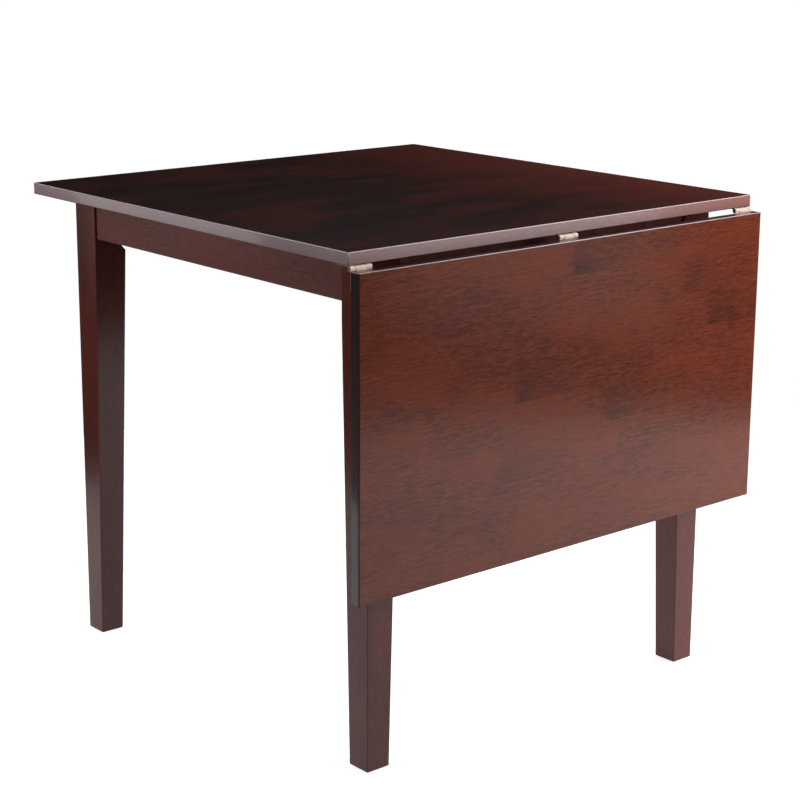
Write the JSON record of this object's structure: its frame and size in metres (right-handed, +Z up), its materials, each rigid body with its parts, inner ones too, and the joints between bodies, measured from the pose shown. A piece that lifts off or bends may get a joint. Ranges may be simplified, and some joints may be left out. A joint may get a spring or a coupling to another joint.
{
  "type": "drop-leaf dining table",
  "caption": "Square wooden dining table on tapered legs, with a hinged leaf hanging along one edge and folding braces that hold it level when raised.",
  "frame": {"origin": "floor level, under the middle of the table's outline with the leaf hanging", "axes": "+X along the hinge line, +Y from the hanging leaf towards the rear edge, +Z up"},
  "size_m": [0.79, 0.8118, 0.75],
  "materials": {
    "walnut_top": "dark walnut stain under semi-gloss lacquer",
    "walnut_leaf": "walnut stain under satin lacquer, jointed staves",
    "walnut_leg": "walnut stain under satin lacquer",
    "walnut_apron": "walnut stain under satin lacquer",
    "brass": "polished pale brass",
    "zinc_steel": "zinc plated steel",
    "nylon": "dark nylon"
  },
  "bodies": {
    "table_frame": {"table_top": "walnut_top", "leg_front_left": "walnut_leg", "leg_front_right": "walnut_leg", "leg_rear_left": "walnut_leg", "leg_rear_right": "walnut_leg", "apron_front": "walnut_apron", "apron_rear": "walnut_apron", "apron_left": "walnut_apron", "apron_right": "walnut_apron", "corner_bracket_front_left": "zinc_steel", "corner_bracket_front_right": "zinc_steel", "corner_bracket_rear_left": "zinc_steel", "corner_bracket_rear_right": "zinc_steel", "corner_bracket_screws": "zinc_steel", "hanger_bolts": "zinc_steel", "hanger_washers": "zinc_steel", "hanger_nuts": "zinc_steel", "top_angle_brackets": "zinc_steel", "top_angle_screws": "zinc_steel", "foot_glides": "nylon", "hinge_top_plate_left": "brass", "hinge_top_plate_middle": "brass", "hinge_top_plate_right": "brass", "hinge_pin_left": "brass", "hinge_pin_middle": "brass", "hinge_pin_right": "brass", "hinge_top_screws": "brass", "brace_frame_bracket_left": "zinc_steel", "brace_frame_bracket_right": "zinc_steel", "brace_frame_rivets": "zinc_steel", "brace_frame_screws": "zinc_steel"},
    "leaf": {"drop_leaf": "walnut_leaf", "hinge_leaf_plate_left": "brass", "hinge_leaf_plate_middle": "brass", "hinge_leaf_plate_right": "brass", "hinge_leaf_screws": "brass", "brace_leaf_bracket_left": "zinc_steel", "brace_leaf_bracket_right": "zinc_steel", "brace_leaf_rivets": "zinc_steel", "brace_leaf_screws": "zinc_steel"},
    "lower_arm_left": {"brace_lower_arm_left": "zinc_steel"},
    "upper_arm_left": {"brace_upper_arm_left": "zinc_steel", "brace_elbow_rivet_left": "zinc_steel", "brace_arm_rivet_left": "zinc_steel"},
    "lower_arm_right": {"brace_lower_arm_right": "zinc_steel"},
    "upper_arm_right": {"brace_upper_arm_right": "zinc_steel", "brace_elbow_rivet_right": "zinc_steel", "brace_arm_rivet_right": "zinc_steel"}
  },
  "joints": [
    {"name": "leaf_hinge", "type": "hinge", "parent": "table_frame", "child": "leaf", "pos_m": [0, -0.3841, 0.7282], "axis": [-1, 0, 0], "range_deg": [0, 90]},
    {"name": "brace_frame_pivot_left", "type": "hinge", "parent": "table_frame", "child": "lower_arm_left", "pos_m": [-0.22035, -0.3689, 0.6882], "axis": [-1, 0, 0], "range_deg": [0, 122.31]},
    {"name": "brace_elbow_left", "type": "hinge", "parent": "lower_arm_left", "child": "upper_arm_left", "pos_m": [-0.22035, -0.32648, 0.57809], "axis": [-1, 0, 0], "range_deg": [-111.21, 0]},
    {"name": "brace_frame_pivot_right", "type": "hinge", "parent": "table_frame", "child": "lower_arm_right", "pos_m": [0.22035, -0.3689, 0.6882], "axis": [-1, 0, 0], "range_deg": [0, 122.31]},
    {"name": "brace_elbow_right", "type": "hinge", "parent": "lower_arm_right", "child": "upper_arm_right", "pos_m": [0.22035, -0.32648, 0.57809], "axis": [-1, 0, 0], "range_deg": [-111.21, 0]}
  ],
  "couplings": [
    {"joint": "brace_frame_pivot_left", "follows": "leaf_hinge", "ratio": 1.3589},
    {"joint": "brace_elbow_left", "follows": "leaf_hinge", "ratio": -1.2355},
    {"joint": "brace_frame_pivot_right", "follows": "leaf_hinge", "ratio": 1.3589},
    {"joint": "brace_elbow_right", "follows": "leaf_hinge", "ratio": -1.2355}
  ]
}
